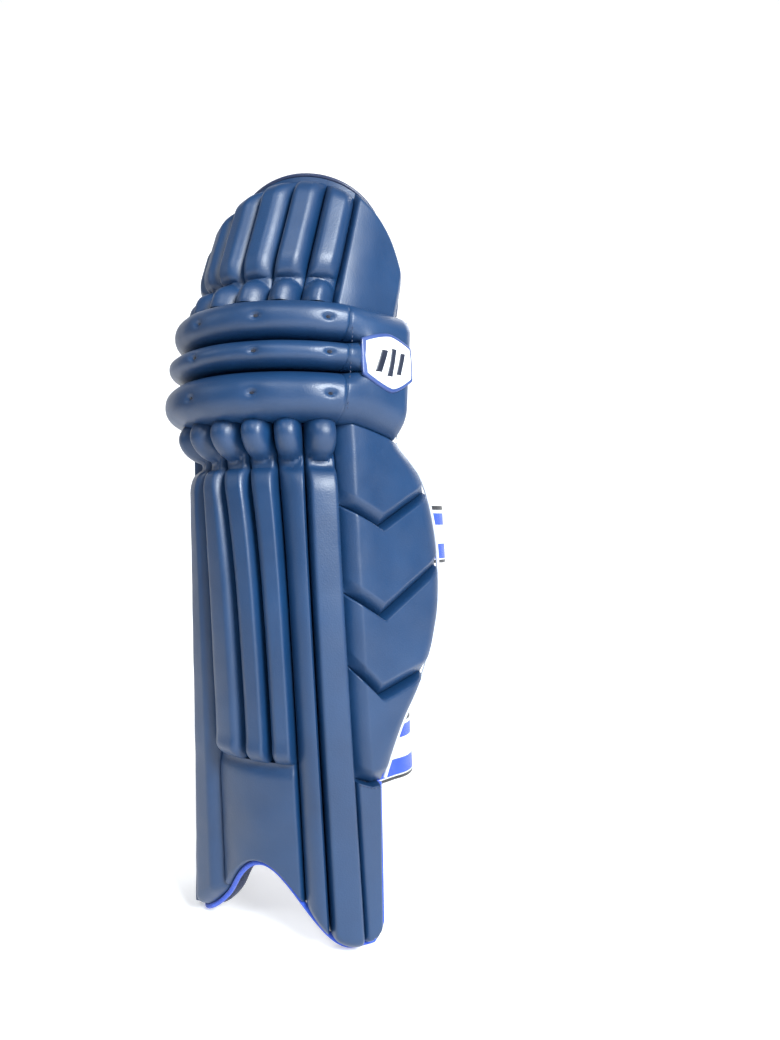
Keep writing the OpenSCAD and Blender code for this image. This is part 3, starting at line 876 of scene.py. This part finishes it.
def top_roll(i):
    """A roll of the top hat, with a small bulb at its foot and a flat margin under the dome's edge."""
    foot = HAT_Z - 1.5
    margin = 9

    def depth(u, t, f, z):
        crease = HAT_Z + 26 - 9 * abs(2 * u - 0.9) ** 2
        over = z - crease
        body = rise(u, 0.26, 2.0) * rise(1 - u, 0.44, 1.6)
        bulb = rise(u, 0.42, 1.7) * rise(1 - u, 0.55, 1.5)
        upper = body * (0.40 + 0.62 * rise(z - HAT_Z - 28, 24, 1.8))
        lower = bulb * (0.42 + 0.66 * rise(-over - 1, 15, 2.0))
        h = mix(lower, upper, ease((over + 4) / 8)) * (1 - 0.16 * bell(over, 5))
        rim = dome(f) - margin - z
        h *= rise(rim, 20, 2.0)
        return 2.2 + 19.5 * max(h, 0)

    roll = patch(
        f"top_roll_{i}_face", NAVY, lambda t: hat_seam(i - 1) + 0.05, lambda t: hat_seam(i) - 0.05,
        lambda f: foot, lambda f: dome(f) - 1.5, hat_back, depth, nu=30, nt=96,
    )
    fit(roll, "fold", [f"top_roll_{i}"])


def top_panel(name, f0, f1, full, slope0, slope1):
    """A plain panel of the top hat; slope0 and slope1 are the widths of the slopes at its two sides."""
    def depth(u, t, f, z):
        edges = [((f - f0) * 2.1, slope0), ((f1 - f) * 2.1, slope1), (dome(f) - 1.5 - z, 10)]
        return panel_depth(full, 2.5, edges)

    panel = patch(
        f"{name}_face", NAVY, lambda t: f0, lambda t: f1,
        lambda f: HAT_Z - 1.5, lambda f: dome(f) - 1.5, hat_back, depth, nu=46, nt=60, wave=0.8,
    )
    fit(panel, "fold", [name])


# ---- boards, lining and trim ----

def board(name, body, f0, f1, z0, z1, r0, thick, nu, nt):
    """A stiff board covered in cloth."""
    piece = patch(
        name + "_cloth", BACKING, f0, f1, z0, z1, r0,
        lambda u, t, f, z: thick * (0.5 + 0.5 * crown(u, 30) * crown(t, 30)), nu=nu, nt=nt, wave=0.0,
    )
    fit(piece, body, [name])


def cushion(name, body, f0, f1, z0, z1, r0, thick, nu, nt, e=3.0, ge=10, cap=5.0, channels=()):
    """A stuffed lining pad: it stands inwards from r0, swollen by cloth simulation, with sewn channels."""
    rings = []
    for k in range(nt + 1):
        t = (1 - math.cos(math.pi * k / nt)) / 2
        face = []
        back = []
        for i in range(nu + 1):
            u = (1 - math.cos(math.pi * i / nu)) / 2
            f = mix(f0(t), f1(t), u)
            z = mix(z0(f), z1(f), t)
            d = (thick - 3) * (0.15 + 0.85 * crown(t, ge) * crown(u, e))
            face.append(at(f, z, r0(z) - d))
            back.append(at(f, z, r0(z) - 0.3))
        rings.append(face + back[::-1])
    piece = loft(name + "_pad", rings, LINING, 60)
    puff(piece, cap=cap)
    for vertex in piece.data.vertices:
        p = vertex.co / MM
        ax, ay = axis_x(p.z), axis_y(p.z)
        out = Vector((p.x - ax, p.y - ay, 0))
        r = out.length
        f = math.atan2(out.x, -out.y) / RAD
        push = 0.0
        for kind, place, width, deep in channels:
            off = (f - place) * r * RAD if kind == "up" else p.z - place
            push += deep * bell(off, width)
        push = push * clip((r0(p.z) - r) / thick) + 0.5 * ripple(vertex.co, 0.022)
        new = r + push
        if abs(f) < OUTER_LIM:
            new = min(new, r0(p.z) - 0.2)
        vertex.co += out.normalized() * (new - r) * MM
    piece.data.update()
    fit(piece, body, [name])


def liner_r(z):
    return r_board(z) - GAP


def lining():
    """Everything that lies against the leg."""
    cushion("shin_cushion", "shin", lambda t: -29, lambda t: 29, lambda f: 112, lambda f: 530, liner_r, 14, 24, 60,
            channels=[("up", -10, 3, 6), ("up", 10, 3, 6)])
    cushion("bolster_inner", "shin", lambda t: WALL_END + 3, lambda t: -31, lambda f: 60, lambda f: 520,
            liner_r, 22, 30, 60, channels=[("across", 200, 4, 7), ("across", 360, 4, 7)])
    cushion("bolster_outer", "shin", lambda t: 31, lambda t: 58, lambda f: 60, lambda f: 530, liner_r, 22, 20, 60,
            channels=[("across", 200, 4, 7), ("across", 360, 4, 7)])
    cushion("wing_lining", "shin", lambda t: 60, lambda t: wing_f(mix(242, 515, t)) - 7.5,
            lambda f: 242, lambda f: 515, liner_r, 9, 24, 50, e=6, cap=3)
    cushion("knee_cup", "shin", lambda t: WALL_END + 4, lambda t: 84, lambda f: KNEE_Z, lambda f: HAT_Z - 6,
            lambda z: R_BASE - BOARD_T - GAP, 17, 70, 24, e=12, ge=3,
            channels=[("across", KNEE_Z + 40, 4, 6), ("across", KNEE_Z + 80, 4, 6)])
    cushion("top_lining", "top_hat", lambda t: HAT_MID - HAT_HALF + 5, lambda t: HAT_MID + HAT_HALF - 5,
            lambda f: HAT_Z + 3.5, lambda f: dome(f) - 8, lambda z: hat_back(z) - 2 * GAP - BOARD_T,
            12, 60, 30, e=8, ge=6, cap=4)


def boards():
    board("shin_backing", "shin", lambda t: WALL_END, lambda t: 60.6, lambda f: bottom(f) + BINDING_D - 1,
          lambda f: KNEE_Z - 0.8 - 12 * clip((-f - 60) / 40), r_board, BOARD_T, 90, 60)
    board("wing_backing", "shin", lambda t: 61, lambda t: wing_f(mix(168, 529, t)) - 0.5,
          lambda f: 168, lambda f: KNEE_Z - 0.8 - 14 * clip((f - 60) / 28), r_board, BOARD_T, 30, 60)
    board("knee_backing", "shin", lambda t: WALL_END, lambda t: knee_f(mix(KNEE_Z, HAT_Z, t)) - 1,
          lambda f: KNEE_Z, lambda f: HAT_Z - 2 - 12 * clip((-f - 84) / 16),
          lambda z: R_BASE - BOARD_T, BOARD_T, 90, 16)
    board("top_backing", "fold", lambda t: HAT_MID - HAT_HALF + 1, lambda t: HAT_MID + HAT_HALF - 1,
          lambda f: HAT_Z + 0.6, lambda f: dome(f), lambda z: hat_back(z) - GAP - BOARD_T, BOARD_T, 80, 40)


def canes():
    """A cane splint behind the middle of each shin roll."""
    foot, top = 120, 500
    for i in range(1, 7):
        def mid(t):
            z = mix(foot, top, t)
            return (seam_f(i - 1, z) + seam_f(i, z)) / 2
        strip = patch(
            f"cane_splint_{i}", CANE, lambda t: mid(t) - 2.4, lambda t: mid(t) + 2.4, lambda f: foot, lambda f: top,
            lambda z: r_board(z) + BOARD_T + GAP, lambda u, t, f, z: CANE_T * (0.5 + 0.5 * crown(u, 3)),
            nu=8, nt=40, wave=0.0,
        )
        fit(strip, "shin")
        if i == 1:
            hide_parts("shin_canes")


def trim():
    """Pale piping on the wing and the knee, binding round the foot and dark piping round the dome."""
    edge = [(wing_f(z) + 0.8, z, roll_back(z) + 9) for z in range(168, 530, 4)]
    fit(tube("wing_piping_cord", PALE_PIPING, edge, 4.2), "shin", ["wing_piping"])
    edge = [(knee_f(z) + 0.9, z, R_BASE + 15) for z in range(int(KNEE_Z) - 10, int(HAT_Z), 4)]
    fit(tube("knee_piping_cord", PALE_PIPING, edge, 3.4), "shin", ["knee_piping"])
    right = [(strip_f(z) + 1.3, z, roll_back(z) + 5) for z in range(164, 14, -5)]
    foot = [(f, bottom(f) + BINDING_D / 2, roll_back(0) + 5) for f in [61 - k for k in range(162)]]
    fit(tube("bottom_binding_tape", BINDING, right + foot, BINDING_D, 12), "shin", ["bottom_binding"])
    arch = []
    for a in range(2, 179, 2):
        f = HAT_MID - HAT_HALF * math.cos(a * RAD)
        arch.append((f, HAT_Z + (DOME_H + 1.0) * math.sin(a * RAD), hat_back(dome(f)) + 1.0))
    fit(tube("top_piping_cord", DARK_PIPING, arch, 4.4), "top_hat", ["top_piping"])


def seams():
    """Rows of stitches: under the wing and along the knee section's side seam."""
    row = [
        (f, groove_z(GROOVES[4], f) - 3.4, roll_back(168) + ROLL_T - 7.7)
        for f in [WING_F + 0.5 + k for k in range(13)]
    ]
    fit(stitches("strip_stitching", THREAD, row), "shin")
    row = [(knee_seam(z) + 1.4, z, r_knee(z) - 4.0) for z in range(int(KNEE_Z) + 12, int(HAT_Z) - 10, 3)]
    fit(stitches("knee_seam_stitching", THREAD, row), "shin")


# ---- straps ----

STRAP_T = 2.4
SEWN_ALONG = Vector((0.30, 0.95, 0))
# For each strap: the direction in which it leaves its seam, how far its loop reaches behind the leg, the angle
# where its grip on the inner wall ends, and the length that is sewn in
STRAP_PATHS = {
    "knee_strap": (Vector((-0.10, 0.995, 0)), 80, -87, 13),
    "calf_strap": (Vector((0.45, 0.89, 0)), 94, -81, 13),
    "ankle_strap": (Vector((0.45, 0.89, 0)), 104, -81, 30),
}
# Stripes across the webbing: finish, and share of the width where the stripe ends
BLUE, WHITE, BLACK = range(3)
STRIPES = [
    (BLACK, 0.055), (WHITE, 0.075), (BLUE, 0.335), (WHITE, 0.665), (BLUE, 0.87), (WHITE, 0.925), (BLACK, 1.0),
]
# Where the webbing's mesh has a row: the edges of the stripes and a few places between
BAND_ROWS = [0.0, 0.02, 0.055, 0.075, 0.20, 0.335, 0.5, 0.665, 0.80, 0.87, 0.925, 0.98, 1.0]


def leaning(name, p, mid):
    """The shin straps lean with the walls that they lie on."""
    if name.startswith("knee"):
        return p
    return p + Vector((-0.05, -0.0296, 0)) * (p.z - mid)


def strap_line(name, hinge, mid, fastener_r):
    """Level route of a strap: its sewn end, the loop behind the leg and the grip on the inner wall."""
    leave, reach, grip_end, sewn = STRAP_PATHS[name]
    root = Vector((hinge.x, hinge.y, 0)) / MM
    p = root + 1.5 * leave
    far = at(WALL_END, mid, fastener_r) / MM
    q = Vector((far.x, far.y + 10, 0))
    u = p + reach * leave
    v = q + Vector((0, reach + 20, 0))
    line = [root - d * SEWN_ALONG for d in (sewn, sewn * 0.7, sewn * 0.45, 4, 1.5)]
    for k in range(61):
        t = k / 60
        line.append(p * (1 - t) ** 3 + 3 * u * t * (1 - t) ** 2 + 3 * v * t * t * (1 - t) + q * t ** 3)
    for k in range(15):
        w = at(mix(WALL_END, grip_end, k / 14), mid, fastener_r) / MM
        line.append(Vector((w.x, w.y, 0)))
    return line


def strap(name, fastener_r):
    """Striped webbing from its sewn end, round the back of the leg, to its hook tab on the inner wall."""
    joint = next(j for j in frame["joints"] if j["name"] == name + "_open")
    hinge = Vector(joint["pos_m"])
    low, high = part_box(name)
    mid = (low[2] + high[2]) / 2 / MM
    width = (high[2] - low[2]) / MM
    line = strap_line(name, hinge, mid, fastener_r)
    points = []
    uvs = []
    run = 0.0
    last = len(line) - 1
    half = STRAP_T / 2
    for i in range(last + 1):
        along = (line[min(i + 1, last)] - line[max(i - 1, 0)]).normalized()
        side = Vector((-along.y, along.x, 0))
        if i:
            run += (line[i] - line[i - 1]).length
        for sign, order in ((1, BAND_ROWS), (-1, BAND_ROWS[::-1])):
            for s in order:
                thin = 0.55 if min(s, 1 - s) < 0.01 else 1.0
                rest = line[i] + side * sign * half * thin + Vector((0, 0, mid - width / 2 + s * width))
                points.append(leaning(name, rest, mid) * MM)
                uvs.append((run * MM, s * width * MM))
    n = 2 * len(BAND_ROWS)
    rings = [points[k * n:(k + 1) * n] for k in range(last + 1)]
    piece = build(name + "_webbing", points, [f[::-1] for f in loft_data(rings)], WEB_BLUE, 60, uvs)
    piece.data.materials.append(WEB_WHITE)
    piece.data.materials.append(WEB_BLACK)
    for face in piece.data.polygons:
        z = sum(piece.data.vertices[k].co.z for k in face.vertices) / len(face.vertices) / MM
        s = (z - mid + width / 2) / width
        face.material_index = next((finish for finish, end in STRIPES if s <= end), BLACK)
    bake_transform(piece)
    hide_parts(name)
    return mid, width, line


def ribbon_pad(name, mid, width, path, thick, material, body, nodes, inset=2.0):
    """A flat pad or patch along a level path, with rounded edges."""
    rings = []
    last = len(path) - 1
    cross = [0, 0.03, 0.08, 0.2, 0.4, 0.6, 0.8, 0.92, 0.97, 1]
    for i in range(last + 1):
        along = (path[min(i + 1, last)] - path[max(i - 1, 0)]).normalized()
        side = Vector((-along.y, along.x, 0))
        end = 0.45 + 0.55 * crown(i / last, 14)
        ring = []
        for sign in (1, -1):
            for s in (cross if sign > 0 else cross[::-1]):
                h = thick / 2 * end * (0.35 + 0.65 * crown(s, 5))
                p = path[i] + side * sign * h + Vector((0, 0, mid - width / 2 + s * width))
                ring.append(leaning(name, p, mid) * MM)
        rings.append(ring)
    piece = build(name, [p for r in rings for p in r], [f[::-1] for f in loft_data(rings)], material, 60)
    return fit(piece, body, nodes)


def straps():
    """The three straps with their hook tabs, their loop patches and the calf strap's soft pad."""
    rows = (("knee_strap", R_BASE + 16.4), ("calf_strap", None), ("ankle_strap", None))
    for name, wall in rows:
        z = (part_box(name)[0][2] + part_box(name)[1][2]) / 2 / MM
        wall = wall or r_shin(z) - 6 + 1.4
        mid, width, line = strap(name, wall + 2 * 1.9 + GAP + STRAP_T / 2)
        kind = name.split("_")[0]
        for part, lift, trim_w in (("hook_tab", 1.5 + 2 * GAP, 12), ("loop_patch", GAP, 4)):
            path = []
            for k in range(18):
                p = at(mix(-98, -88 if kind == "knee" else -82, k / 17), mid, wall + lift + 0.75) / MM
                path.append(Vector((p.x, p.y, 0)))
            ribbon_pad(f"{kind}_{part}_pile", mid, width - trim_w, path, 1.5, HOOKS,
                       name if part == "hook_tab" else "shin", [f"{kind}_{part}"])
        if kind == "calf":
            path = []
            inner = line[5:66]
            for i in range(17, 45):
                along = (inner[i + 1] - inner[i - 1]).normalized()
                path.append(inner[i] + Vector((-along.y, along.x, 0)) * (STRAP_T / 2 + GAP + 4))
            ribbon_pad("calf_strap_cushion", mid, width - 4, path, 8, LINING, name, ["calf_strap_pad"])
    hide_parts("strap_roots")


# ---- camera, light and stage ----

CAMERA_PLACE = (0.496, -0.740, 0.443)
CAMERA_TURN = 27 * RAD   # to the left of straight ahead
FLOOR_WHITE = (0.86, 0.86, 0.87, 1)


def light(name, place, aim, size, power, color=(1, 1, 1)):
    """A soft box that looks at aim."""
    lamp = bpy.data.lights.new(name, "AREA")
    lamp.shape = "RECTANGLE"
    lamp.size, lamp.size_y = size
    lamp.energy = power
    lamp.color = color
    holder = bpy.data.objects.new(name, lamp)
    holder.location = place
    holder.rotation_euler = (Vector(aim) - Vector(place)).to_track_quat("-Z", "Y").to_euler()
    bpy.context.scene.collection.objects.link(holder)


def stage():
    """Camera, a pale floor that sweeps up behind the pad, four soft lights and a dim sky."""
    camera = bpy.data.cameras.new("camera")
    camera.lens = 25.96
    camera.sensor_width = 36
    obj = bpy.data.objects.new("camera", camera)
    obj.location = CAMERA_PLACE
    obj.rotation_euler = (90 * RAD, 0, CAMERA_TURN)
    bpy.context.scene.collection.objects.link(obj)
    bpy.context.scene.camera = obj

    floor = bpy.data.materials.new("pale_floor")
    floor.use_nodes = True
    bsdf = floor.node_tree.nodes["Principled BSDF"]
    bsdf.inputs["Base Color"].default_value = FLOOR_WHITE
    bsdf.inputs["Roughness"].default_value = 0.9
    bsdf.inputs["Emission Color"].default_value = (1, 1, 1, 1)
    bsdf.inputs["Emission Strength"].default_value = 0.42
    near, far, bend, top = -3.0, 1.6, 1.2, 5.0
    profile = [(near, 0.0), (far, 0.0)]
    profile += [(far + bend * math.sin(a * RAD), bend - bend * math.cos(a * RAD)) for a in range(6, 91, 6)]
    profile.append((far + bend, top))
    ahead = Vector((-math.sin(CAMERA_TURN), math.cos(CAMERA_TURN), 0))
    right = Vector((math.cos(CAMERA_TURN), math.sin(CAMERA_TURN), 0))
    points = [ahead * d + right * s + Vector((0, 0, h)) for d, h in profile for s in (-5.0, 5.0)]
    faces = [(2 * k, 2 * k + 1, 2 * k + 3, 2 * k + 2) for k in range(len(profile) - 1)]
    build("floor_sweep", points, faces, floor)

    light("key", (2.1, -1.1, 1.7), (0, 0, 0.5), (0.8, 0.9), 128, (0.93, 0.98, 1))
    light("front", (0.3, -1.8, 2.1), (0, 0, 0.7), (0.5, 0.4), 14, (0.93, 0.98, 1))
    light("left_fill", (-1.7, -1.5, 1.6), (0, 0, 0.6), (0.5, 0.9), 5, (0.9, 0.97, 1))
    light("back", (0.3, 2.2, 1.8), (0, 0, 0.5), (1.6, 1.0), 20)
    world = bpy.data.worlds.new("studio")
    world.use_nodes = True
    sky = world.node_tree.nodes["Background"]
    sky.inputs["Color"].default_value = (0.95, 0.97, 1.0, 1)
    sky.inputs["Strength"].default_value = 0.22
    bpy.context.scene.world = world
    bpy.context.scene.view_settings.view_transform = "Standard"


stage()
for index in range(1, 7):
    shin_roll(index)
    top_roll(index)
instep_panel()
shin_inner_panel()
for index in range(1, 5):
    wing_segment(index)
wing_strip()
for index, label in enumerate(("lower", "middle", "upper")):
    knee_roll(index, label)
knee_tufts()
knee_side_panel()
knee_inner_panel()
badge()
top_panel("top_side_panel", HAT_END + 0.05, HAT_MID + HAT_HALF - 1, 15, 4, 14)
top_panel("top_inner_panel", HAT_MID - HAT_HALF + 1, hat_seam(0) - 0.05, 14, 14, 4)
boards()
canes()
lining()
trim()
seams()
straps()
